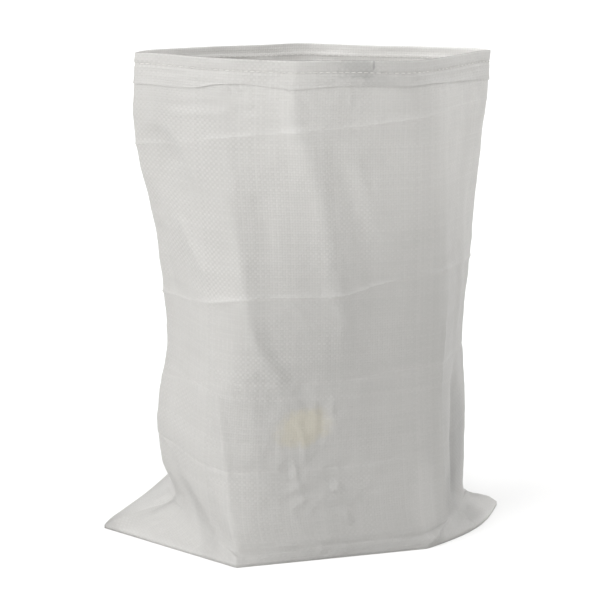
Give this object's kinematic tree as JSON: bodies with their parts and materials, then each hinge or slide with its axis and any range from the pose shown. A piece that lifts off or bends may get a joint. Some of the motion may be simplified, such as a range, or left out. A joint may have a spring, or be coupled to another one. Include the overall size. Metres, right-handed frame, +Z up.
{
  "type": "woven polypropylene sack",
  "caption": "Open empty woven sack for cement, sand or rubble, standing on its folded base, with a hemmed mouth and two corner ears.",
  "frame": {"origin": "on the floor, under the middle of the sack's bounding box", "axes": "+Z up, towards the mouth; +X along the bottom seam, towards the right ear; -Y is the front"},
  "size_m": [0.505, 0.2694, 0.613],
  "materials": {
    "woven_cloth": "white woven polypropylene tape, slightly glossy",
    "sewing_thread": "off-white spun thread"
  },
  "bodies": {
    "root": {"woven_sack": "woven_cloth", "mouth_stitching": "sewing_thread", "bottom_stitching": "sewing_thread"}
  },
  "joints": []
}
